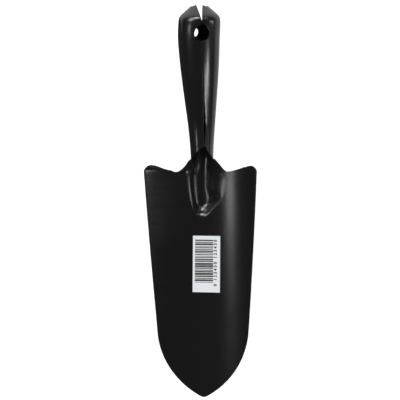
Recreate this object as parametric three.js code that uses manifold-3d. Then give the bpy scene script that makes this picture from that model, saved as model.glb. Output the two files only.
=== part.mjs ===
// Hand trowel pressed from one sheet of steel: a trough-shaped blade whose top
// runs through a half-round channel into a handle rolled from the same sheet,
// with a paper label stuck in the hollow of the blade.
//
// Millimetres. +Z is up and the trowel lies on its back on the plane Z = 0,
// hollow side up. +Y runs from the blade's point to the handle's end. The
// origin is the middle of the outline on the resting plane. Stations s run
// along the tool from the point (0) to the handle's end (LENGTH).
import * as THREE from "three";
import { mergeVertices } from "three/addons/utils/BufferGeometryUtils.js";
import Module from "manifold-3d";

const { clamp, degToRad, lerp, smoothstep } = THREE.MathUtils;

// --- Driving dimensions --------------------------------------------------
const LENGTH = 280;
const SHEET = 1.2;
const HALF = SHEET / 2;

// Blade.
const TROUGH_RADIUS = 66;
const BLADE_PITCH = Math.tan(degToRad(2.2)); // it rests on its point and on the channel
const POINT_ARC = { x: -25.8, s: 52.3, radius: 58.6, from: 62.8, to: 6.5 }; // degrees
const POINT_ROUNDING = 0.35;
const POINT_LEAN = { shift: 0.8, length: 60 }; // the point sits a little to the left
const SIDE_BULGE = 0.3;
const SHOULDER = { radius: 4.4, end: 105 }; // corner arc, degrees turned

// The blank isn't quite even: its left shoulder stands a little higher. Each
// side runs nearly straight to `top`; past the shoulder the edge dips and then
// climbs the flank beside the channel, up to the waist.
const RIGHT_EDGE = {
  top: { x: 40.05, s: 161 },
  flank: [[21.5, 162.05], [18.4, 161.75], [15.4, 163.8], [12.6, 167.3], [9.8, 170.6]],
};
const LEFT_EDGE = {
  top: { x: 40.3, s: 162.35 },
  flank: [[21.5, 162.2], [18.2, 162.2], [15.2, 163.8], [12.5, 166.3], [9.6, 169.7]],
};
const WAIST = { radius: 7.5, s: 171.4 };

// Channel pressed into the blade below the handle.
const CHANNEL_START = 128.4; // its rounded end
const CHANNEL_HALF_WIDTH = 12;
const CHANNEL_X = -1.2; // it is pressed in a little left of the middle line
const CHANNEL_PLAN_LENGTH = 33; // its outline is a half ellipse of this length
const CHANNEL_RUN_OUT = 11.5; // length over which it reaches its full depth
const RIM_SHARE = 0.36; // rim radius over rim plus floor radius
const RIGHT_RIM = { crisp: 0.16, broad: 0.66, widening: 0.6 }; // crisp below, broad above
const RIM_SPREAD = 14; // half width over which the blade swells up to the waist
const REST_TRIM = 0.1; // worn off underneath, so the tool lies steady

// Handle: an oval tube with an open seam, the mouth of which is V-shaped.
const HANDLE_RISE = { slope: Math.tan(degToRad(8)), start: 178, bend: 16 }; // of its back wall
const HANDLE_HALF_WIDTH = 14.55; // at the end, to the middle of the sheet
const HANDLE_GROWTH = { to: 266, power: 0.8 };
const OVAL = { ratio: 0.8, from: 171, to: 200 }; // height over width
const MOUTH_END = 180.2;
const SEAM_ANGLE = { neck: degToRad(20), end: degToRad(13.4) }; // right of the crown
const SEAM_GAP = 0.3;
const SEAM_OPENING = { s: 190, gap: 1.2, below: 3.4, above: 18 };
const RIDGE = { height: 0.25, width: 1.6 }; // the flaps stay straight along the seam

// Handle end, bent down along a soft crease, and the hanging hole.
const END_BEND = 1.6;
const END_WIDTH = { start: 270.8, slope: 1.05 }; // where it narrows and how steeply
const END_HEIGHT = { start: 268.2, slope: 0.67 };
const END_SHIFT = { right: 0.7, s: 268, reach: 8 }; // it is pushed over by this much
const DOME = { start: 267.5, end: 280 };
const HOLE = { x: 3.35, s: 257.5, radius: 5.2, tip: 264.8 };
const SLANT = { right: { x: 6.6, s: 261.8 }, left: { x: -0.6, s: 261 } }; // up to the tip
const SLIT = { start: 265, left: 5.2, right: 0.9 }; // how far its sides lean to the left
const BACK_HOLE = { x: -5.4, s: 262, radius: 3.6 };
const BACK_NOTCH = { x: 2.4, s: 268.3, left: -9, right: 7.5 };

// Label in the hollow of the blade.
const LABEL = { x: 2.25, s: 95.8, width: 20, length: 40.6, thickness: 0.2, gap: 0.2 };
const LABEL_TURN = 0.019; // it is stuck on slightly crooked; radians

// Mesh density.
const COLUMNS = 11; // from the middle line to each edge
const SAMPLES = 120; // steps used to space the blade's columns

// --- The middle of the sheet ---------------------------------------------
const softRamp = (v, r) => (v + Math.hypot(v, r)) / 2;
const trough = (x) => TROUGH_RADIUS - Math.sqrt(TROUGH_RADIUS ** 2 - x ** 2);
const bladeFloor = (s) => HALF + s * BLADE_PITCH;
const nearWaist = (s) => smoothstep(s, 158, WAIST.s);

function point(x, s, z) {
  const lean = POINT_LEAN.shift * (1 - smoothstep(s, 0, POINT_LEAN.length));
  return new THREE.Vector3(x - lean, s - LENGTH / 2, z - REST_TRIM);
}

// Height of the channel's wall above its floor: a round floor, then a round rim.
function channelWall(x, width, depth, share = RIM_SHARE) {
  const angle = 2 * Math.atan(depth / width);
  const floor = (width / Math.sin(angle)) * (1 - share);
  const rim = (width / Math.sin(angle)) * share;
  if (x >= width) return depth;
  if (x <= floor * Math.sin(angle)) return floor - Math.sqrt(floor ** 2 - x ** 2);
  return depth - rim + Math.sqrt(rim ** 2 - (width - x) ** 2);
}

// Lowest line of the sheet: blade floor, channel floor, then the handle's back.
function keel(s) {
  if (s <= CHANNEL_START) return bladeFloor(s);
  const toFloor = Math.max(CHANNEL_START + CHANNEL_RUN_OUT - s, 0);
  const floor = HALF + channelWall(toFloor, CHANNEL_RUN_OUT, bladeFloor(s) - HALF);
  const { slope, start, bend } = HANDLE_RISE;
  return floor + slope * softRamp(s - start, bend) * smoothstep(s, 160, WAIST.s);
}

function channelHalfWidth(s) {
  const along = clamp((s - CHANNEL_START) / CHANNEL_PLAN_LENGTH, 0.002, 1);
  const ellipse = CHANNEL_HALF_WIDTH * Math.sqrt(1 - (1 - along) ** 2);
  return lerp(ellipse, WAIST.radius / (1 - RIM_SHARE), nearWaist(s));
}

function bladeHeight(x, s) {
  const floor = bladeFloor(s);
  if (s <= CHANNEL_START) return floor + trough(x);
  const waist = nearWaist(s);
  const offset = x - CHANNEL_X * (1 - waist);
  const side = Math.abs(offset);
  const upper = offset > 0 ? 1 - smoothstep(s, 154, 166) : 0;
  const rightShare = lerp(RIGHT_RIM.crisp, RIGHT_RIM.broad, smoothstep(s, 138, 152));
  const share = lerp(RIM_SHARE, rightShare, upper);
  const widening = RIGHT_RIM.widening * smoothstep(s, 129, 145) * upper;
  const width = channelHalfWidth(s) * (1 + widening);
  const sunk = floor - keel(s);
  const rise = Math.max(width - sunk, 0) * waist ** 2;
  const depth = Math.max(sunk + rise, 1e-4);
  const swell = rise * Math.exp(-((side / RIM_SPREAD) ** 4));
  const channel = channelWall(side, width, depth, share) - depth + swell;
  return floor + trough(x) * (1 - waist ** 4) + channel;
}

// What the bent-down end takes off a half width or half height, none at the waist.
function endTaper(s, { start, slope }) {
  return slope * (softRamp(s - start, END_BEND) - softRamp(WAIST.s - start, END_BEND));
}

// Oval section of the handle: half width, half height and centre height.
function tubeSection(s) {
  const growth = smoothstep(s, WAIST.s, HANDLE_GROWTH.to) ** HANDLE_GROWTH.power;
  const full = lerp(WAIST.radius, HANDLE_HALF_WIDTH, growth);
  const oval = lerp(1, OVAL.ratio, smoothstep(s, OVAL.from, OVAL.to));
  const halfWidth = full - endTaper(s, END_WIDTH);
  const halfHeight = full * oval - endTaper(s, END_HEIGHT);
  return { halfWidth, halfHeight, centre: keel(s) + halfHeight };
}

// Angle of the seam, from the handle's crown to the right.
function seamAngle(s) {
  return lerp(SEAM_ANGLE.neck, SEAM_ANGLE.end, smoothstep(s, 180, 254));
}

// Point on the handle at an angle from the middle of its back, measured to the right.
function tubePoint(s, angle) {
  const { halfWidth, halfHeight, centre } = tubeSection(s);
  const toSeam = Math.PI - Math.sign(angle) * seamAngle(s) - Math.abs(angle);
  const spread = Math.exp(-(((toSeam * halfHeight) / RIDGE.width) ** 2));
  const along = smoothstep(s, 176, 190) * (1 - smoothstep(s, 225, 248));
  const ridge = RIDGE.height * spread * along;
  const shift = END_SHIFT.right * Math.exp(-(((s - END_SHIFT.s) / END_SHIFT.reach) ** 2));
  const x = (halfWidth + ridge) * Math.sin(angle) + shift;
  return point(x, s, centre - halfHeight * Math.cos(angle) - ridge * Math.min(Math.cos(angle), 0));
}

// --- Outline of the blank --------------------------------------------------
// Every row of the sheet starts at station k on the middle line (in the channel,
// on the channel's own middle line) and ends at the blank's edge: in the blade at
// (x, s), in the handle at (angle, s). `closed` is the angle at which a handle row
// would meet the seam.
const steps = (count, make) => Array.from({ length: count }, (_, i) => make(i / count));

function pointArc(degrees) {
  const angle = degToRad(degrees);
  const s = POINT_ARC.s - POINT_ARC.radius * Math.sin(angle);
  return {
    x: POINT_ARC.x + POINT_ARC.radius * Math.cos(angle),
    s: Math.hypot(s, POINT_ROUNDING) - POINT_ROUNDING,
  };
}

function sideEdge({ top }, t) {
  const low = pointArc(POINT_ARC.to);
  const x = lerp(low.x, top.x, t) + SIDE_BULGE * 4 * t * (1 - t);
  return { x, s: lerp(low.s, top.s, t) };
}

function shoulderEdge({ top }, degrees) {
  const angle = degToRad(degrees);
  return {
    x: top.x - SHOULDER.radius * (1 - Math.cos(angle)),
    s: top.s + SHOULDER.radius * Math.sin(angle),
  };
}

function dipEdge(edge, t) {
  const corner = shoulderEdge(edge, SHOULDER.end);
  const [x, s] = edge.flank[0];
  return { x: lerp(corner.x, x, t), s: lerp(corner.s, s, t) };
}

function flankEdge({ flank }, t) {
  const places = [...flank, [WAIST.radius, WAIST.s]].map(([x, s]) => new THREE.Vector3(x, s, 0));
  const { x, y } = new THREE.CatmullRomCurve3(places, false, "centripetal").getPoint(t);
  return { x, s: y };
}

function bladeRows() {
  const fan = (from, to, count, place) => steps(count, (t) => ({
    k: lerp(from, to, t),
    right: place(RIGHT_EDGE, t),
    left: place(LEFT_EDGE, t),
  }));
  const both = (edge, k) => ({ k, right: edge, left: edge });
  const sideFrom = sideEdge(RIGHT_EDGE, 0.73).s;
  return [
    both(pointArc(POINT_ARC.from), 0),
    ...steps(13, (t) => pointArc(lerp(POINT_ARC.from - 1.5, POINT_ARC.to, t)))
      .map((edge) => both(edge, edge.s)),
    ...fan(sideEdge(RIGHT_EDGE, 0).s, sideFrom, 12, (edge, t) => sideEdge(edge, t * 0.73)),
    ...fan(sideFrom, 151.5, 10, (edge, t) => sideEdge(edge, lerp(0.73, 1, t))),
    ...fan(151.5, 155.5, 6, (edge, t) => shoulderEdge(edge, lerp(2, SHOULDER.end, t))),
    ...fan(155.5, 159, 5, dipEdge),
    ...fan(159, WAIST.s, 12, flankEdge),
  ];
}

const seamX = (s) => tubeSection(s).halfWidth * Math.sin(seamAngle(s));

function seamHalfGap(s) {
  const { s: middle, gap, below, above } = SEAM_OPENING;
  const reach = s < middle ? below : above;
  return (SEAM_GAP + (gap - SEAM_GAP) * Math.exp(-(((s - middle) / reach) ** 2))) / 2;
}

// Where a flap ends across the handle; side is 1 for the right flap, -1 for the left.
function flapEnd(s, side) {
  let x = seamX(Math.min(s, SLIT.start)) + side * seamHalfGap(s);
  const fromHole = s - HOLE.s;
  if (Math.abs(fromHole) < HOLE.radius) {
    const rim = HOLE.x + side * Math.sqrt(HOLE.radius ** 2 - fromHole ** 2);
    x = side > 0 ? Math.max(x, rim) : Math.min(x, rim);
  }
  const slant = side > 0 ? SLANT.right : SLANT.left;
  if (s > slant.s && s < HOLE.tip) {
    const rim = lerp(slant.x, seamX(HOLE.tip), (s - slant.s) / (HOLE.tip - slant.s));
    x = side > 0 ? Math.max(x, rim) : Math.min(x, rim);
  }
  const t = clamp((s - SLIT.start) / (DOME.end - SLIT.start), 0, 1);
  return x - (side > 0 ? SLIT.right * t : SLIT.left * t ** 1.2);
}

function flapAngle(s, side) {
  const { halfWidth } = tubeSection(s);
  const lean = Math.asin(clamp(flapEnd(s, side) / halfWidth, -0.98, 0.98));
  return Math.PI - side * lean;
}

// The mouth: both flaps climb from the waist to the seam.
function mouthRow(t) {
  const edge = (side) => {
    const last = flapAngle(MOUTH_END, side);
    const angle = lerp(Math.PI / 2, last, t);
    const reach = (Math.sin(angle) - Math.sin(last)) / (1 - Math.sin(last));
    return { angle, closed: angle, s: lerp(MOUTH_END, WAIST.s, reach) };
  };
  const right = edge(1);
  const left = edge(-1);
  return { k: (right.s + left.s) / 2, right, left };
}

function handleRow(s) {
  const edge = (side) => (
    { angle: flapAngle(s, side), closed: Math.PI - side * seamAngle(s), s });
  return { k: s, right: edge(1), left: edge(-1) };
}

function handleRows() {
  const { s, radius } = HOLE;
  const aroundHole = steps(11, (t) => s - radius * Math.cos(Math.PI * (t + 1 / 22)));
  const dome = steps(10, (t) => lerp(DOME.start, DOME.end, Math.sin((t * Math.PI) / 2)));
  const stations = [
    ...steps(8, (t) => lerp(MOUTH_END, 196, t)),
    ...steps(9, (t) => lerp(196, s - radius - 0.4, t)),
    s - radius - 0.4, ...aroundHole, s + radius + 0.3, HOLE.tip, ...dome, DOME.end,
  ];
  return [...steps(8, mouthRow), ...stations.map(handleRow)];
}

// --- Sheet as a grid -------------------------------------------------------
// Spaces COLUMNS + 1 points along a row, closer together where weight is high.
function spaceColumns(pointAt, weight) {
  const fine = Array.from({ length: SAMPLES + 1 }, (_, i) => pointAt(i / SAMPLES));
  const run = [0];
  for (let i = 1; i <= SAMPLES; i++) {
    run.push(run[i - 1] + fine[i].distanceTo(fine[i - 1]) * weight(fine[i].x));
  }
  let i = 1;
  return Array.from({ length: COLUMNS + 1 }, (_, column) => {
    const target = (run[SAMPLES] * column) / COLUMNS;
    while (i < SAMPLES && run[i] < target) i++;
    const t = (target - run[i - 1]) / (run[i] - run[i - 1]);
    return fine[i - 1].clone().lerp(fine[i], clamp(t, 0, 1));
  });
}

function bladeHalfRow(row, side) {
  const edge = side > 0 ? row.right : row.left;
  const focus = 1.8 * smoothstep(row.k, 105, 128) * (1 - smoothstep(row.k, 160, 168));
  const middle = CHANNEL_X * smoothstep(row.k, 110, CHANNEL_START) * (1 - nearWaist(row.k));
  return spaceColumns((t) => {
    const x = lerp(middle, side * edge.x, t);
    const s = lerp(row.k, edge.s, t);
    return point(x, s, bladeHeight(x, s));
  }, (x) => 1 + focus * (1 - smoothstep(Math.abs(x), 13, 19)));
}

// Columns at the same angles in every row, stretched near the edge to reach it.
function handleHalfRow(row, side) {
  const { angle, closed, s } = side > 0 ? row.right : row.left;
  return Array.from({ length: COLUMNS + 1 }, (_, column) => {
    const t = column / COLUMNS;
    const place = closed * t + (angle - closed) * smoothstep(t, 0.3, 1);
    return tubePoint(lerp(row.k, s, t * t), side * place);
  });
}

function sheetGrid() {
  const rows = [
    ...bladeRows().map((row) => [bladeHalfRow(row, 1), bladeHalfRow(row, -1)]),
    ...handleRows().map((row) => [handleHalfRow(row, 1), handleHalfRow(row, -1)]),
  ];
  return rows.map(([right, left]) => [...left.slice(1).reverse(), ...right]);
}

// Gives a grid of points a thickness, `below` under it and `above` over it.
function thicken(grid, below, above) {
  const rows = grid.length;
  const columns = grid[0].length;
  const at = (r, c) => grid[clamp(r, 0, rows - 1)][clamp(c, 0, columns - 1)];
  const normals = grid.map((line, r) => line.map((_, c) => {
    const across = at(r, c + 1).clone().sub(at(r, c - 1));
    const lengthwise = at(r + 1, c).clone().sub(at(r - 1, c));
    return across.cross(lengthwise).normalize();
  }));
  const positions = [];
  for (const offset of [-below, above]) {
    grid.forEach((line, r) => line.forEach((p, c) => {
      positions.push(...p.clone().addScaledVector(normals[r][c], offset).toArray());
    }));
  }
  const id = (layer, r, c) => (layer * rows + r) * columns + c;
  const triangles = [];
  const quad = (a, b, c, d) => triangles.push(a, b, c, a, c, d);
  for (let r = 0; r < rows - 1; r++) {
    for (let c = 0; c < columns - 1; c++) {
      quad(id(1, r, c), id(1, r, c + 1), id(1, r + 1, c + 1), id(1, r + 1, c));
      quad(id(0, r, c), id(0, r + 1, c), id(0, r + 1, c + 1), id(0, r, c + 1));
    }
    const last = columns - 1;
    quad(id(0, r, 0), id(1, r, 0), id(1, r + 1, 0), id(0, r + 1, 0));
    quad(id(0, r, last), id(0, r + 1, last), id(1, r + 1, last), id(1, r, last));
  }
  for (let c = 0; c < columns - 1; c++) {
    const last = rows - 1;
    quad(id(0, 0, c), id(0, 0, c + 1), id(1, 0, c + 1), id(1, 0, c));
    quad(id(0, last, c), id(1, last, c), id(1, last, c + 1), id(0, last, c + 1));
  }
  const geometry = new THREE.BufferGeometry();
  geometry.setAttribute("position", new THREE.Float32BufferAttribute(positions, 3));
  geometry.setIndex(triangles);
  return geometry;
}

// --- Sub-parts ---------------------------------------------------------------
const wasm = await Module();
wasm.setup();

function toManifold(geometry) {
  const bare = geometry.clone();
  bare.deleteAttribute("normal");
  bare.deleteAttribute("uv");
  const merged = mergeVertices(bare, 1e-5);
  return new wasm.Manifold(new wasm.Mesh({
    numProp: 3,
    vertProperties: new Float32Array(merged.attributes.position.array),
    triVerts: new Uint32Array(merged.index.array),
  }));
}

function toGeometry(manifold) {
  const mesh = manifold.getMesh();
  const geometry = new THREE.BufferGeometry();
  geometry.setAttribute("position", new THREE.BufferAttribute(mesh.vertProperties, 3));
  geometry.setIndex(new THREE.BufferAttribute(mesh.triVerts, 1));
  return geometry;
}

// Upright cutter through the handle's back wall, from a plan outline in (x, s).
function backCutter(outline) {
  const shape = new THREE.Shape(outline.map(({ x, s }) => new THREE.Vector2(x, s - LENGTH / 2)));
  const height = tubeSection(HOLE.s).centre;
  return toManifold(new THREE.ExtrudeGeometry(shape, { depth: height, bevelEnabled: false }));
}

function makeBody() {
  const { x, s, radius } = BACK_HOLE;
  const hole = steps(24, (t) => ({
    x: x + radius * Math.cos(2 * Math.PI * t),
    s: s + radius * Math.sin(2 * Math.PI * t),
  }));
  const notch = [
    { x: BACK_NOTCH.x, s: BACK_NOTCH.s },
    { x: BACK_NOTCH.right, s: LENGTH + 5 },
    { x: BACK_NOTCH.left, s: LENGTH + 5 },
  ];
  const below = new THREE.BoxGeometry(100, 300, 10).translate(0, 0, -5);
  return toGeometry(
    toManifold(thicken(sheetGrid(), HALF, HALF))
      .subtract(backCutter(hole))
      .subtract(backCutter(notch))
      .subtract(toManifold(below)));
}

function makeLabel() {
  const lift = HALF + LABEL.gap;
  const grid = steps(9, (t) => steps(13, (u) => {
    const across = LABEL.width * (u * (13 / 12) - 0.5);
    const along = LABEL.length * (t * (9 / 8) - 0.5);
    const x = LABEL.x + across + LABEL_TURN * along;
    const s = LABEL.s + along - LABEL_TURN * across;
    return point(x, s, bladeHeight(x, s));
  }));
  return thicken(grid, -lift, lift + LABEL.thickness);
}

function addPart(group, name, geometry, material) {
  const mesh = new THREE.Mesh(geometry, new THREE.MeshStandardMaterial(material));
  mesh.name = name;
  group.add(mesh);
}

const group = new THREE.Group();
group.name = "hand_trowel";
addPart(group, "trowel_body", makeBody(), { color: 0x1a1a1c, metalness: 0.3, roughness: 0.4 });
addPart(group, "barcode_label", makeLabel(), { color: 0xf2f1ec, roughness: 0.7 });

export default group;
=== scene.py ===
"""Looks of the pressed-steel hand trowel: painted sheet body, paper label, print."""

import math

import bpy
import numpy as np
from mathutils import Matrix, Vector


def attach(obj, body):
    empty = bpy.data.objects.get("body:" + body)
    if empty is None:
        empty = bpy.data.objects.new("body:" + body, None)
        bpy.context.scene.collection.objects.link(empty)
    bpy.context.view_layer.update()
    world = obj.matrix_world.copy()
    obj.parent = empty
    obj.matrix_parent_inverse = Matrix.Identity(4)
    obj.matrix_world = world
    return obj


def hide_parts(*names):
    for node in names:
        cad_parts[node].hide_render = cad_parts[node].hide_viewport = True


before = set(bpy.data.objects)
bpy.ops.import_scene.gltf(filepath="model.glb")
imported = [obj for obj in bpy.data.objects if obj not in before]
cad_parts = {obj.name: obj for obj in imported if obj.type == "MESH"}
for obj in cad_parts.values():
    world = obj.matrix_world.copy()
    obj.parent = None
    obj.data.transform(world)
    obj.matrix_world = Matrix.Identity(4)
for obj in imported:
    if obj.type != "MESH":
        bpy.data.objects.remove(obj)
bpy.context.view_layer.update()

MM = 0.001

# --- Sheet-steel body: driving dimensions, millimetres ----------------------
# Stations s run along the tool from the blade's point (0) to the handle's end.
LENGTH = 280.0
HALF = 0.6                       # half the sheet's thickness
EDGE_ROUND = 0.22                # radius worn onto the cut edges

TROUGH_RADIUS = 66.0
BLADE_PITCH = math.tan(math.radians(2.2))
POINT_X, POINT_S, POINT_RADIUS = -25.8, 52.3, 58.6
POINT_FROM, POINT_TO = 62.8, 6.5
POINT_ROUNDING = 0.35
POINT_LEAN, LEAN_LENGTH = 0.8, 60.0   # the point sits a little to the left
SIDE_BULGE = 0.3
SHOULDER_RADIUS, SHOULDER_END = 4.4, 105.0
# The blank isn't quite even: its left shoulder stands a little higher.
SIDE_TOP = {1: (40.05, 161.0), -1: (40.3, 162.35)}
FLANK = {1: [(21.5, 162.05), (18.4, 161.75), (15.4, 163.8), (12.6, 167.3), (9.8, 170.6)],
         -1: [(21.5, 162.2), (18.2, 162.2), (15.2, 163.8), (12.5, 166.3), (9.6, 169.7)]}
WAIST_RADIUS, WAIST_S = 7.5, 171.4

CHANNEL_START = 128.4            # its rounded end
CHANNEL_HALF_WIDTH = 12.0
CHANNEL_PLAN_LENGTH = 33.0       # its outline is a half ellipse of this length
CHANNEL_RUN_OUT = 11.5           # length over which it reaches its full depth
CHANNEL_X = -1.2                 # it is pressed in a little left of the middle
RIM_SHARE = 0.36                 # rim radius over rim plus floor radius
RIM_SPREAD = 14.0                # half width over which the blade swells up to the waist
# The right rim is crisp at the rounded end and broad above, and the channel widens there.
CRISP_SHARE, BROAD_SHARE, SOFTENS = 0.16, 0.66, (138.0, 152.0)
WIDENING, WIDENS = 0.6, (129.0, 145.0)
RIGHT_RIM_ENDS = (154.0, 166.0)

HANDLE_RISE = math.tan(math.radians(8.0))
RISE_START, RISE_BEND = 178.0, 16.0
HANDLE_HALF_WIDTH = 14.55
GROWTH_TO, GROWTH_POWER = 266.0, 0.8
OVAL, OVAL_FROM, OVAL_TO = 0.8, 171.0, 200.0
MOUTH_END = 180.2
SEAM_NECK, SEAM_END = math.radians(20.0), math.radians(13.4)
SEAM_GAP = 0.14
OPENING_S, OPENING_GAP, OPENING_BELOW, OPENING_ABOVE = 190.0, 1.2, 3.4, 18.0
RIDGE, RIDGE_WIDTH = 0.25, 1.6   # the flaps stay straight along the seam
END_SHIFT = 0.7                  # the end is pushed over to the right by this much
REST_TRIM = 0.1                  # worn off underneath, so the tool lies steady

END_BEND = 1.6                   # the end is bent down along a soft crease
END_WIDTH = (270.8, 1.05)        # where it starts and how steeply it narrows
END_HEIGHT = (268.2, 0.67)
DOME_START, DOME_END = 267.5, 280.0
HOLE_X, HOLE_S, HOLE_RADIUS, HOLE_TIP = 3.35, 257.5, 5.2, 264.8
SLANT = {1: (6.6, 261.8), -1: (-0.6, 261.0)}   # the hole runs to a tip in the slit
SLIT_START, SLIT_LEFT, SLIT_RIGHT = 265.0, 5.2, 0.9
BACK_HOLE_X, BACK_HOLE_S, BACK_HOLE_RADIUS = -5.4, 262.0, 3.6
NOTCH_X, NOTCH_S, NOTCH_LEFT, NOTCH_RIGHT = 2.4, 268.3, -9.0, 7.5

COLUMNS = 64                     # across each half of the sheet
SAMPLES = 420
FINENESS = 4                     # rows here for one row of a plain layout

# --- Label -------------------------------------------------------------------
LABEL_X, LABEL_S = 2.25, 95.8
LABEL_TURN = 0.019               # it's stuck on slightly crooked
LABEL_WIDTH, LABEL_LENGTH = 20.0, 40.6
LABEL_GAP, LABEL_THICKNESS = 0.04, 0.1


# --- Small helpers -------------------------------------------------------------
def lerp(a, b, t):
    return a + (b - a) * t


def smoothstep(v, low, high):
    t = np.clip((v - low) / (high - low), 0.0, 1.0)
    return t * t * (3.0 - 2.0 * t)


def soft_ramp(v, r):
    return (v + np.hypot(v, r)) / 2.0


# --- Middle of the sheet ---------------------------------------------------------
def trough(x):
    return TROUGH_RADIUS - np.sqrt(TROUGH_RADIUS**2 - x**2)


def blade_floor(s):
    return HALF + s * BLADE_PITCH


def near_waist(s):
    return smoothstep(s, 158.0, WAIST_S)


def channel_wall(x, width, depth, share=RIM_SHARE):
    """Height of the channel's wall over its floor: a round floor, then a round rim."""
    angle = 2.0 * np.arctan(depth / width)
    floor = width / np.sin(angle) * (1.0 - share)
    rim = width / np.sin(angle) * share
    on_floor = floor - np.sqrt(np.maximum(floor**2 - x**2, 0.0))
    on_rim = depth - rim + np.sqrt(np.maximum(rim**2 - (width - x) ** 2, 0.0))
    wall = np.where(x <= floor * np.sin(angle), on_floor, on_rim)
    return np.where(x >= width, depth, wall)


def keel(s):
    """Lowest line of the sheet: blade floor, channel floor, then the handle's back."""
    to_floor = np.maximum(CHANNEL_START + CHANNEL_RUN_OUT - s, 0.0)
    depth = np.maximum(blade_floor(s) - HALF, 0.01)
    floor = HALF + channel_wall(to_floor, CHANNEL_RUN_OUT, depth)
    floor = np.where(s > CHANNEL_START, floor, blade_floor(s))
    return floor + HANDLE_RISE * soft_ramp(s - RISE_START, RISE_BEND) * smoothstep(s, 160.0, WAIST_S)


def channel_half_width(s):
    along = np.clip((s - CHANNEL_START) / CHANNEL_PLAN_LENGTH, 0.002, 1.0)
    ellipse = CHANNEL_HALF_WIDTH * np.sqrt(1.0 - (1.0 - along) ** 2)
    return lerp(ellipse, WAIST_RADIUS / (1.0 - RIM_SHARE), near_waist(s))


def blade_height(x, s):
    floor = blade_floor(s)
    waist = near_waist(s)
    side = x - CHANNEL_X * (1.0 - waist)
    on_right = (1.0 - smoothstep(s, *RIGHT_RIM_ENDS)) * (side > 0)
    share = lerp(CRISP_SHARE, BROAD_SHARE, smoothstep(s, *SOFTENS))
    share = lerp(RIM_SHARE, share, on_right)
    side = np.abs(side)
    width = channel_half_width(s) * (1.0 + WIDENING * smoothstep(s, *WIDENS) * on_right)
    sunk = floor - keel(s)
    rise = np.maximum(width - sunk, 0.0) * waist**2
    depth = np.maximum(sunk + rise, 1e-4)
    swell = rise * np.exp(-((side / RIM_SPREAD) ** 4))
    channel = channel_wall(side, width, depth, share) - depth + swell
    return floor + trough(x) * (1.0 - waist**4) + channel * (s > CHANNEL_START)


def end_taper(s, start, slope):
    return slope * (soft_ramp(s - start, END_BEND) - soft_ramp(WAIST_S - start, END_BEND))


def tube_section(s):
    """Half width, half height and centre height of the handle's oval section."""
    growth = smoothstep(s, WAIST_S, GROWTH_TO) ** GROWTH_POWER
    half_width = lerp(WAIST_RADIUS, HANDLE_HALF_WIDTH, growth)
    half_height = half_width * lerp(1.0, OVAL, smoothstep(s, OVAL_FROM, OVAL_TO))
    half_width = half_width - end_taper(s, *END_WIDTH)
    half_height = half_height - end_taper(s, *END_HEIGHT)
    return half_width, half_height, keel(s) + half_height


def point(x, s, z):
    lean = POINT_LEAN * (1.0 - smoothstep(s, 0.0, LEAN_LENGTH))
    return np.stack([x - lean, s - LENGTH / 2, z - REST_TRIM], axis=-1)


def tube_points(s, angle):
    """Places on the handle, at angles from the middle of its back to the right."""
    half_width, half_height, centre = tube_section(s)
    from_seam = (np.abs(angle) - math.pi + np.sign(angle) * seam_angle(s)) * half_height
    ridge = RIDGE * np.exp(-((from_seam / RIDGE_WIDTH) ** 2))
    ridge = ridge * smoothstep(s, 176.0, 190.0) * (1.0 - smoothstep(s, 225.0, 248.0))
    shift = END_SHIFT * np.exp(-(((s - 268.0) / 8.0) ** 2))
    x = (half_width + ridge) * np.sin(angle) + shift
    z = centre - half_height * np.cos(angle) - ridge * np.minimum(np.cos(angle), 0.0)
    return point(x, s, z)


# --- Outline of the blank ----------------------------------------------------------
def shares(count):
    return [i / (count * FINENESS) for i in range(count * FINENESS)]


def point_arc(degrees):
    angle = math.radians(degrees)
    s = POINT_S - POINT_RADIUS * math.sin(angle)
    x = POINT_X + POINT_RADIUS * math.cos(angle)
    return x, math.hypot(s, POINT_ROUNDING) - POINT_ROUNDING


def side_edge(side, t):
    low_x, low_s = point_arc(POINT_TO)
    top_x, top_s = SIDE_TOP[side]
    return lerp(low_x, top_x, t) + SIDE_BULGE * 4 * t * (1 - t), lerp(low_s, top_s, t)


def shoulder_edge(side, degrees):
    angle = math.radians(degrees)
    top_x, top_s = SIDE_TOP[side]
    return (top_x - SHOULDER_RADIUS * (1 - math.cos(angle)),
            top_s + SHOULDER_RADIUS * math.sin(angle))


def flank_edge(side, t):
    """Centripetal Catmull-Rom curve through the flank's points, up to the waist."""
    points = [Vector(p) for p in FLANK[side] + [(WAIST_RADIUS, WAIST_S)]]
    place = t * (len(points) - 1)
    i = min(int(place), len(points) - 2)
    u = place - i
    p1, p2 = points[i], points[i + 1]
    p0 = points[i - 1] if i > 0 else p1 * 2 - p2
    p3 = points[i + 2] if i + 2 < len(points) else p2 * 2 - p1
    d0, d1, d2 = ((b - a).length ** 0.5 for a, b in ((p0, p1), (p1, p2), (p2, p3)))
    t1 = ((p1 - p0) / d0 - (p2 - p0) / (d0 + d1) + (p2 - p1) / d1) * d1
    t2 = ((p2 - p1) / d1 - (p3 - p1) / (d1 + d2) + (p3 - p2) / d2) * d1
    curve = (p1 * (2 * u**3 - 3 * u**2 + 1) + t1 * (u**3 - 2 * u**2 + u)
             + p2 * (3 * u**2 - 2 * u**3) + t2 * (u**3 - u**2))
    return curve.x, curve.y


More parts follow.
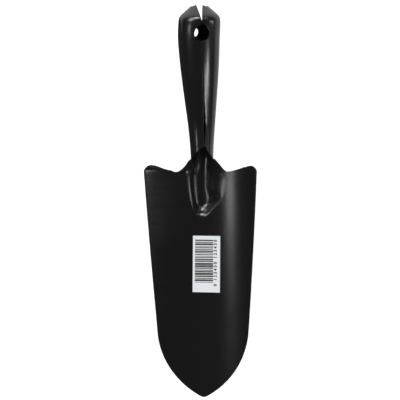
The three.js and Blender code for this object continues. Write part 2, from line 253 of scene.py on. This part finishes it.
def blade_rows():
    """(station on the middle line, right edge (x, s), left edge), from point to waist."""
    def both(edge, *values):
        return edge(1, *values), edge(-1, *values)

    def to_dip(side, t):
        return tuple(lerp(shoulder_edge(side, SHOULDER_END)[i], FLANK[side][0][i], t)
                     for i in (0, 1))

    rows = [(0.0, point_arc(POINT_FROM), point_arc(POINT_FROM))]
    for t in shares(13):
        edge = point_arc(lerp(POINT_FROM - 1.5, POINT_TO, t))
        rows.append((edge[1], edge, edge))
    for t in shares(12):
        rows.append((side_edge(1, t * 0.73)[1], *both(side_edge, t * 0.73)))
    for t in shares(10):
        k = lerp(side_edge(1, 0.73)[1], 151.5, t)
        rows.append((k, *both(side_edge, lerp(0.73, 1.0, t))))
    for t in shares(6):
        rows.append((lerp(151.5, 155.5, t), *both(shoulder_edge, lerp(2.0, SHOULDER_END, t))))
    for t in shares(5):
        rows.append((lerp(155.5, 159.0, t), *both(to_dip, t)))
    for t in shares(12):
        rows.append((lerp(159.0, WAIST_S, t), *both(flank_edge, t)))
    return rows


def seam_angle(s):
    return lerp(SEAM_NECK, SEAM_END, smoothstep(s, 180.0, 254.0))


def seam_x(s):
    return tube_section(s)[0] * math.sin(seam_angle(s))


def seam_half_gap(s):
    reach = OPENING_BELOW if s < OPENING_S else OPENING_ABOVE
    swell = math.exp(-(((s - OPENING_S) / reach) ** 2))
    return (SEAM_GAP + (OPENING_GAP - SEAM_GAP) * swell) / 2


def flap_end(s, side):
    """Where a flap ends across the handle; side is 1 for the right flap, -1 the left."""
    x = seam_x(min(s, SLIT_START)) + side * seam_half_gap(s)
    from_hole = s - HOLE_S
    if abs(from_hole) < HOLE_RADIUS:
        rim = HOLE_X + side * math.sqrt(HOLE_RADIUS**2 - from_hole**2)
        x = max(x, rim) if side > 0 else min(x, rim)
    slant_x, slant_s = SLANT[side]
    if slant_s < s < HOLE_TIP:
        rim = lerp(slant_x, seam_x(HOLE_TIP), (s - slant_s) / (HOLE_TIP - slant_s))
        x = max(x, rim) if side > 0 else min(x, rim)
    t = min(max((s - SLIT_START) / (DOME_END - SLIT_START), 0.0), 1.0)
    return x - (SLIT_RIGHT * t if side > 0 else SLIT_LEFT * t**1.2)


def flap_angle(s, side):
    lean = flap_end(s, side) / tube_section(s)[0]
    return math.pi - side * math.asin(min(max(lean, -0.98), 0.98))


def handle_rows():
    """(station on the middle line, right edge, left edge); an edge is (angle, s, closed angle)."""
    rows = []
    for t in shares(8):
        edges = []
        for side in (1, -1):
            closed = flap_angle(MOUTH_END, side)
            angle = lerp(math.pi / 2, closed, t)
            reach = (math.sin(angle) - math.sin(closed)) / (1 - math.sin(closed))
            edges.append((angle, lerp(MOUTH_END, WAIST_S, reach), angle))
        rows.append(((edges[0][1] + edges[1][1]) / 2, *edges))
    low, high = HOLE_S - HOLE_RADIUS, HOLE_S + HOLE_RADIUS
    stations = [lerp(MOUTH_END, 196.0, t) for t in shares(8)]
    stations += [lerp(196.0, low - 0.4, t) for t in shares(12)]
    stations.append(low - 0.2)
    count = 11 * FINENESS
    stations += [HOLE_S - HOLE_RADIUS * math.cos(math.pi * (i + 0.5) / count)
                 for i in range(count)]
    stations += [lerp(high + 0.1, DOME_START, t) for t in shares(3)]
    stations += [lerp(DOME_START, DOME_END, math.sin(t * math.pi / 2)) for t in shares(10)]
    stations.append(DOME_END)
    for s in stations:
        closed = [math.pi - side * seam_angle(s) for side in (1, -1)]
        rows.append((s, (flap_angle(s, 1), s, closed[0]), (flap_angle(s, -1), s, closed[1])))
    return rows


# --- The sheet as a grid -------------------------------------------------------------
def space_columns(points, weight):
    """Spaces COLUMNS + 1 points along a row, closer together where weight is high."""
    lengths = np.linalg.norm(np.diff(points, axis=0), axis=1) * weight[1:]
    run = np.concatenate([[0.0], np.cumsum(lengths)])
    wanted = np.linspace(0.0, run[-1], COLUMNS + 1)
    return np.stack([np.interp(wanted, run, points[:, i]) for i in range(3)], axis=-1)


def blade_half_row(row, side):
    k = row[0]
    edge_x, edge_s = row[1] if side > 0 else row[2]
    t = np.linspace(0.0, 1.0, SAMPLES)
    # Rows start on the middle of the channel, where there is one.
    middle = CHANNEL_X * smoothstep(k, 110.0, CHANNEL_START) * (1.0 - near_waist(k))
    x = lerp(middle, side * edge_x, t)
    s = lerp(k, edge_s, t)
    points = point(x, s, blade_height(x, s))
    focus = 1.8 * smoothstep(k, 105.0, 128.0) * (1.0 - smoothstep(k, 160.0, 168.0))
    return space_columns(points, 1.0 + focus * (1.0 - smoothstep(np.abs(x), 13.0, 19.0)))


def handle_half_row(row, side):
    """Columns at the same angles in every row, stretched near the edge to reach it."""
    k = row[0]
    angle, edge_s, closed = row[1] if side > 0 else row[2]
    t = np.linspace(0.0, 1.0, COLUMNS + 1)
    place = closed * t + (angle - closed) * smoothstep(t, 0.3, 1.0)
    return tube_points(lerp(k, edge_s, t * t), side * place)


def sheet_grid():
    halves = [(blade_half_row(r, 1), blade_half_row(r, -1)) for r in blade_rows()]
    halves += [(handle_half_row(r, 1), handle_half_row(r, -1)) for r in handle_rows()]
    return np.array([np.concatenate([left[:0:-1], right]) for right, left in halves])


def grid_normals(grid):
    across = np.gradient(grid, axis=1)
    lengthwise = np.gradient(grid, axis=0)
    normals = np.cross(across, lengthwise)
    return normals / np.linalg.norm(normals, axis=-1, keepdims=True)


def sheet_mesh(grid, below, above, corner):
    """Closed sheet between two offsets of a grid, its cut edges rounded by corner."""
    rows, columns = grid.shape[:2]
    normals = grid_normals(grid)
    index = np.arange(rows * columns).reshape(rows, columns)
    loop = np.concatenate([index[0, :-1], index[:-1, -1], index[-1, :0:-1], index[:0:-1, 0]])
    flat, flat_normals = grid.reshape(-1, 3), normals.reshape(-1, 3)
    edge, edge_normals = flat[loop], flat_normals[loop]
    onward = np.roll(edge, -1, axis=0) - np.roll(edge, 1, axis=0)
    outward = np.cross(onward, edge_normals)
    outward /= np.linalg.norm(outward, axis=-1, keepdims=True)

    layers = [flat - flat_normals * below, flat + flat_normals * above]
    for layer in layers:
        layer[loop] -= outward * corner
    steps = np.radians([30.0, 60.0, 90.0])
    profile = [(above - corner * (1 - math.cos(a)), corner * (1 - math.sin(a))) for a in steps]
    profile += [(-below + corner * (1 - math.cos(a)), corner * (1 - math.sin(a)))
                for a in steps[::-1]]
    rings = [edge + edge_normals * height - outward * inset for height, inset in profile]
    vertices = np.concatenate(layers + rings)

    size = rows * columns
    a, b = index[:-1, :-1].ravel(), index[:-1, 1:].ravel()
    c, d = index[1:, 1:].ravel(), index[1:, :-1].ravel()
    faces = [np.stack([a + size, b + size, c + size, d + size], axis=-1),
             np.stack([a, d, c, b], axis=-1)]
    count = len(loop)
    strips = [loop + size] + [2 * size + i * count + np.arange(count) for i in range(6)] + [loop]
    for upper, lower in zip(strips, strips[1:]):
        faces.append(np.stack([upper, lower, np.roll(lower, -1), np.roll(upper, -1)], axis=-1))
    return vertices, np.concatenate(faces)


def add_mesh(name, vertices, faces, material):
    mesh = bpy.data.meshes.new(name)
    mesh.from_pydata((np.asarray(vertices) * MM).tolist(), [], np.asarray(faces).tolist())
    mesh.validate()
    piece = bpy.data.objects.new(name, mesh)
    bpy.context.collection.objects.link(piece)
    piece.data.materials.append(material)
    return piece


def cut(piece, outline):
    """Cuts an upright hole with a plan outline in (x, s) through the handle's back wall."""
    top = float(tube_section(HOLE_S)[2])
    count = len(outline)
    ring = [(x, s - LENGTH / 2) for x, s in outline]
    vertices = [(x, y, z) for z in (0.0, top) for x, y in ring]
    faces = [list(range(count))[::-1], list(range(count, 2 * count))]
    faces += [[i, (i + 1) % count, count + (i + 1) % count, count + i] for i in range(count)]
    mesh = bpy.data.meshes.new("cutter")
    mesh.from_pydata([tuple(v * MM for v in p) for p in vertices], [], faces)
    cutter = bpy.data.objects.new("cutter", mesh)
    bpy.context.collection.objects.link(cutter)
    modifier = piece.modifiers.new("cut", "BOOLEAN")
    modifier.object = cutter
    modifier.operation = "DIFFERENCE"
    modifier.solver = "MANIFOLD"
    bpy.context.view_layer.objects.active = piece
    bpy.ops.object.modifier_apply(modifier=modifier.name)
    bpy.data.objects.remove(cutter)


def smooth(piece, degrees=35.0):
    piece.data.polygons.foreach_set("use_smooth", [True] * len(piece.data.polygons))
    piece.data.set_sharp_from_angle(angle=math.radians(degrees))


# --- Materials ---------------------------------------------------------------------------
def new_material(name, color, roughness):
    material = bpy.data.materials.new(name)
    material.use_nodes = True
    shader = material.node_tree.nodes["Principled BSDF"]
    shader.inputs["Base Color"].default_value = (*color, 1.0)
    shader.inputs["Roughness"].default_value = roughness
    return material, material.node_tree, shader


def black_paint():
    """Satin black paint: a faint orange peel, uneven gloss and fine rub marks across."""
    material, tree, shader = new_material("satin_black_paint", (0.0092, 0.0092, 0.0096), 0.25)
    place = tree.nodes.new("ShaderNodeTexCoord")
    peel = tree.nodes.new("ShaderNodeTexNoise")
    peel.inputs["Scale"].default_value = 900.0
    peel.inputs["Detail"].default_value = 2.0
    waves = tree.nodes.new("ShaderNodeTexNoise")
    waves.inputs["Scale"].default_value = 38.0
    waves.inputs["Detail"].default_value = 2.0
    tree.links.new(place.outputs["Object"], peel.inputs["Vector"])
    tree.links.new(place.outputs["Object"], waves.inputs["Vector"])
    gloss = tree.nodes.new("ShaderNodeMapRange")
    gloss.inputs["To Min"].default_value = 0.15
    gloss.inputs["To Max"].default_value = 0.2
    tree.links.new(waves.outputs["Fac"], gloss.inputs["Value"])
    stretch = tree.nodes.new("ShaderNodeMapping")
    stretch.inputs["Scale"].default_value = (25.0, 800.0, 25.0)
    rubs = tree.nodes.new("ShaderNodeTexNoise")
    rubs.inputs["Scale"].default_value = 1.0
    rubs.inputs["Detail"].default_value = 3.0
    tree.links.new(place.outputs["Object"], stretch.inputs["Vector"])
    tree.links.new(stretch.outputs["Vector"], rubs.inputs["Vector"])
    worn = tree.nodes.new("ShaderNodeMath")
    worn.operation = "MULTIPLY_ADD"
    worn.inputs[1].default_value = 0.1
    tree.links.new(rubs.outputs["Fac"], worn.inputs[0])
    tree.links.new(gloss.outputs["Result"], worn.inputs[2])
    tree.links.new(worn.outputs["Value"], shader.inputs["Roughness"])
    dents = tree.nodes.new("ShaderNodeBump")
    dents.inputs["Strength"].default_value = 0.25
    dents.inputs["Distance"].default_value = 0.0004
    tree.links.new(waves.outputs["Fac"], dents.inputs["Height"])
    grain = tree.nodes.new("ShaderNodeBump")
    grain.inputs["Strength"].default_value = 0.12
    grain.inputs["Distance"].default_value = 0.00005
    tree.links.new(peel.outputs["Fac"], grain.inputs["Height"])
    tree.links.new(dents.outputs["Normal"], grain.inputs["Normal"])
    tree.links.new(grain.outputs["Normal"], shader.inputs["Normal"])
    return material


def label_paper():
    return new_material("label_paper", (0.785, 0.805, 0.825), 0.7)[0]


def label_ink():
    material, _, shader = new_material("label_ink", (0.006, 0.006, 0.006), 0.8)
    shader.inputs["Specular IOR Level"].default_value = 0.2
    return material


# --- Pieces ---------------------------------------------------------------------------------
def make_body():
    vertices, faces = sheet_mesh(sheet_grid(), HALF, HALF, EDGE_ROUND)
    vertices[:, 2] = np.maximum(vertices[:, 2], 0.0)
    body = add_mesh("sheet_body", vertices, faces, black_paint())
    circle = [(BACK_HOLE_X + BACK_HOLE_RADIUS * math.cos(a),
               BACK_HOLE_S + BACK_HOLE_RADIUS * math.sin(a))
              for a in np.linspace(0, 2 * math.pi, 72, endpoint=False)]
    cut(body, circle)
    cut(body, [(NOTCH_X, NOTCH_S), (NOTCH_RIGHT, LENGTH + 5), (NOTCH_LEFT, LENGTH + 5)])
    smooth(body)
    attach(body, "root")
    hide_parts("trowel_body")
    return body


def on_blade(x, s, lift):
    """A place `lift` above the blade's painted surface, millimetres."""
    step = 0.01
    slope_x = (blade_height(x + step, s) - blade_height(x - step, s)) / (2 * step)
    slope_s = (blade_height(x, s + step) - blade_height(x, s - step)) / (2 * step)
    normal = np.stack([-slope_x, -slope_s, np.ones_like(slope_x)], axis=-1)
    normal /= np.linalg.norm(normal, axis=-1, keepdims=True)
    return point(x, s, blade_height(x, s)) + normal * (HALF + lift)


def on_label(across, along, lift):
    """A place over the label, from its middle, turned with it."""
    x = LABEL_X + across + LABEL_TURN * along
    return on_blade(x, LABEL_S + along - LABEL_TURN * across, lift)


def patch(left, right, low_end, high_end, columns, rows, low, high):
    """Vertices and faces of a thin closed patch lying on the blade, about the label's middle."""
    across, along = np.meshgrid(np.linspace(left, right, columns + 1),
                                np.linspace(low_end, high_end, rows + 1))
    layers = [on_label(across, along, lift).reshape(-1, 3) for lift in (low, high)]
    size = (columns + 1) * (rows + 1)
    index = np.arange(size).reshape(rows + 1, columns + 1)
    a, b = index[:-1, :-1].ravel(), index[:-1, 1:].ravel()
    c, d = index[1:, 1:].ravel(), index[1:, :-1].ravel()
    faces = [np.stack([a + size, b + size, c + size, d + size], axis=-1),
             np.stack([a, d, c, b], axis=-1)]
    loop = np.concatenate([index[0, :-1], index[:-1, -1], index[-1, :0:-1], index[:0:-1, 0]])
    after = np.roll(loop, -1)
    faces.append(np.stack([loop, after, after + size, loop + size], axis=-1))
    return np.concatenate(layers), np.concatenate(faces)


def make_label():
    low, high = LABEL_GAP, LABEL_GAP + LABEL_THICKNESS
    vertices, faces = patch(-LABEL_WIDTH / 2, LABEL_WIDTH / 2,
                            -LABEL_LENGTH / 2, LABEL_LENGTH / 2, 40, 60, low, high)
    label = add_mesh("paper_label", vertices, faces, label_paper())
    smooth(label)
    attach(label, "root")
    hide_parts("barcode_label")
    return label


BARS_LEFT, BARS_RIGHT = -8.45, 4.9       # from the label's middle line
BARS_TOP, BARS_LENGTH = 17.45, 30.7
INK_LOW, INK_HIGH = 0.01, 0.03
INK_SPREAD = 0.05
DIGITS_AT = (6.55, 0.9)                  # middle of the line of digits


def bar_widths():
    """A made-up run of bar and gap widths that spells nothing."""
    value = 7
    widths = []
    for _ in range(59):
        value = (value * 37 + 11) % 101
        widths.append(1 + value % 3)
    return widths


def make_print():
    ink = label_ink()
    lift = LABEL_GAP + LABEL_THICKNESS
    widths = bar_widths()
    unit = BARS_LENGTH / sum(widths)
    place = BARS_TOP
    vertices, faces, offset = [], [], 0
    for i, width in enumerate(widths):
        if i % 2 == 0:
            part, quads = patch(BARS_LEFT, BARS_RIGHT, place - width * unit - INK_SPREAD,
                                place + INK_SPREAD, 12, 1, lift + INK_LOW, lift + INK_HIGH)
            vertices.append(part)
            faces.append(quads + offset)
            offset += len(part)
        place -= width * unit
    bars = add_mesh("label_bars", np.concatenate(vertices), np.concatenate(faces), ink)
    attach(bars, "root")

    text = bpy.data.curves.new("digits", "FONT")
    text.body = "0 123450 123450"
    text.size = 3.1 * MM
    text.space_character = 1.53
    text.offset = 0.1 * MM
    text.align_x = "CENTER"
    text.align_y = "CENTER"
    text.extrude = 0.012 * MM
    digits = bpy.data.objects.new("label_digits", text)
    bpy.context.collection.objects.link(digits)
    across, along = DIGITS_AT
    right = Vector(on_label(across, along + 0.5, 0.0) - on_label(across, along - 0.5, 0.0))
    up = Vector(on_label(across - 0.5, along, 0.0) - on_label(across + 0.5, along, 0.0))
    right.normalize()
    up.normalize()
    normal = right.cross(up)
    middle = Vector(on_label(across, along, lift + 0.035)) * MM
    turn = Matrix((right, up, normal)).transposed().to_4x4()
    digits.matrix_world = Matrix.Translation(middle) @ turn
    digits.data.materials.append(ink)
    bpy.context.view_layer.update()
    bpy.ops.object.select_all(action="DESELECT")
    digits.select_set(True)
    bpy.context.view_layer.objects.active = digits
    bpy.ops.object.convert(target="MESH")
    digits = bpy.context.view_layer.objects.active
    digits.data.transform(digits.matrix_world)
    digits.matrix_world = Matrix.Identity(4)
    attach(digits, "root")


make_body()
make_label()
make_print()


# --- Set, lights and camera --------------------------------------------------------------------
def make_floor():
    vertices = [(-2.5, -2.5, 0), (2.5, -2.5, 0), (2.5, 2.5, 0), (-2.5, 2.5, 0)]
    mesh = bpy.data.meshes.new("floor")
    mesh.from_pydata(vertices, [], [(0, 1, 2, 3)])
    floor = bpy.data.objects.new("floor", mesh)
    bpy.context.collection.objects.link(floor)
    material, _, shader = new_material("floor", (0.93, 0.93, 0.93), 0.9)
    shader.inputs["Emission Color"].default_value = (1.0, 1.0, 1.0, 1.0)
    shader.inputs["Emission Strength"].default_value = 0.6
    floor.data.materials.append(material)


def add_softbox(name, right, beyond, width, height, power):
    """Softbox that only reflections see, placed by degrees from overhead, aimed at the tool."""
    aim = Vector((math.tan(math.radians(right)), math.tan(math.radians(beyond)), 1.0)).normalized()
    light = bpy.data.lights.new(name, "AREA")
    light.shape = "RECTANGLE"
    light.size = width
    light.size_y = height
    light.energy = power
    lamp = bpy.data.objects.new(name, light)
    lamp.location = aim * 2.8
    lamp.rotation_euler = aim.to_track_quat("Z", "Y").to_euler()
    lamp.visible_diffuse = False
    bpy.context.collection.objects.link(lamp)


def make_light():
    world = bpy.data.worlds.new("studio")
    bpy.context.scene.world = world
    world.use_nodes = True
    world.node_tree.nodes["Background"].inputs["Color"].default_value = (1, 1, 1, 1)
    world.node_tree.nodes["Background"].inputs["Strength"].default_value = 1.0
    world.cycles_visibility.glossy = False
    # The long soft light on the blade's right slope and in the channel.
    add_softbox("left_softbox", -41.4, -1.2, 0.18, 0.44, 3.6)
    # The bright line along the handle.
    add_softbox("handle_softbox", 47.0, -25.5, 0.22, 0.34, 8.0)
    add_softbox("handle_low_softbox", 40.0, -31.0, 0.22, 0.30, 6.5)
    # The channel's left rim.
    add_softbox("rim_softbox", 58.0, 18.0, 0.30, 0.40, 3.0)
    add_softbox("rim_low_softbox", 68.0, 15.0, 0.30, 0.40, 4.7)
    # Softboxes beyond the handle's end: the channel's rounded end, the crease, the petals.
    add_softbox("top_softbox", -36.9, 31.0, 0.91, 0.81, 25.5)
    add_softbox("top_right_softbox", 35.0, 42.0, 0.50, 0.50, 2.8)
    add_softbox("back_softbox", -23.6, 54.0, 1.80, 1.60, 45.0)
    add_softbox("back_low_softbox", -20.0, 62.0, 0.60, 0.60, 22.0)
    add_softbox("back_right_softbox", 35.0, 62.0, 0.60, 0.60, 4.4)


def make_card(name, corners, grey):
    """Card just over the floor that only the paint's reflections see."""
    mesh = bpy.data.meshes.new(name)
    mesh.from_pydata([(x, y, 0.0004) for x, y in corners], [], [range(len(corners))])
    card = bpy.data.objects.new(name, mesh)
    bpy.context.collection.objects.link(card)
    material, _, shader = new_material(name, (0.0, 0.0, 0.0), 1.0)
    shader.inputs["Specular IOR Level"].default_value = 0.0
    shader.inputs["Emission Color"].default_value = (1.0, 1.0, 1.0, 1.0)
    shader.inputs["Emission Strength"].default_value = grey
    card.data.materials.append(material)
    card.visible_camera = False
    card.visible_diffuse = False
    card.visible_shadow = False


def make_cards():
    make_card("dark_card", [(-2.5, -2.5), (0.0, -2.5), (0.0, 0.15), (-2.5, 0.15)], 0.05)
    make_card("front_card", [(0.0, -2.5), (2.5, -2.5), (2.5, 0.0), (0.0, 0.0)], 0.0)
    make_card("left_card", [(-2.5, 0.15), (0.0, 0.15), (0.0, 2.5), (-2.5, 2.5)], 0.88)
    make_card("right_card", [(0.0, 0.0), (2.5, 0.0), (2.5, 2.5), (0.0, 2.5)], 0.93)


def make_flag():
    """Black flag that keeps the handle's softboxes off the blade; the camera can't see it."""
    mesh = bpy.data.meshes.new("flag")
    corners = [(0.03, -0.30), (0.24, -0.30), (0.24, -0.085), (0.03, -0.085)]
    mesh.from_pydata([(x, y, 0.15) for x, y in corners], [], [range(4)])
    flag = bpy.data.objects.new("flag", mesh)
    bpy.context.collection.objects.link(flag)
    material, _, shader = new_material("flag", (0.0, 0.0, 0.0), 1.0)
    shader.inputs["Specular IOR Level"].default_value = 0.0
    flag.data.materials.append(material)
    flag.visible_camera = False
    flag.visible_diffuse = False


def make_camera():
    tilt, pitch, roll = math.radians(7.28), math.radians(-1.34), math.radians(-0.37)
    away = Vector((math.sin(tilt) * math.cos(pitch), math.sin(pitch),
                   math.cos(tilt) * math.cos(pitch)))
    place = Vector((0, 0, 0.012)) + away * 0.9
    upward = Vector((-math.sin(roll), math.cos(roll), 0))
    right = (-away).cross(upward).normalized()
    up = right.cross(-away)
    camera = bpy.data.cameras.new("camera")
    camera.lens = 113.4
    camera.sensor_width = 36.0
    camera.shift_x = -0.0045
    camera.shift_y = 0.0060
    holder = bpy.data.objects.new("camera", camera)
    holder.matrix_world = Matrix.Translation(place) @ Matrix((right, up, away)).transposed().to_4x4()
    bpy.context.collection.objects.link(holder)
    bpy.context.scene.camera = holder


make_floor()
make_cards()
make_light()
make_flag()
make_camera()
bpy.context.scene.view_settings.view_transform = "Standard"
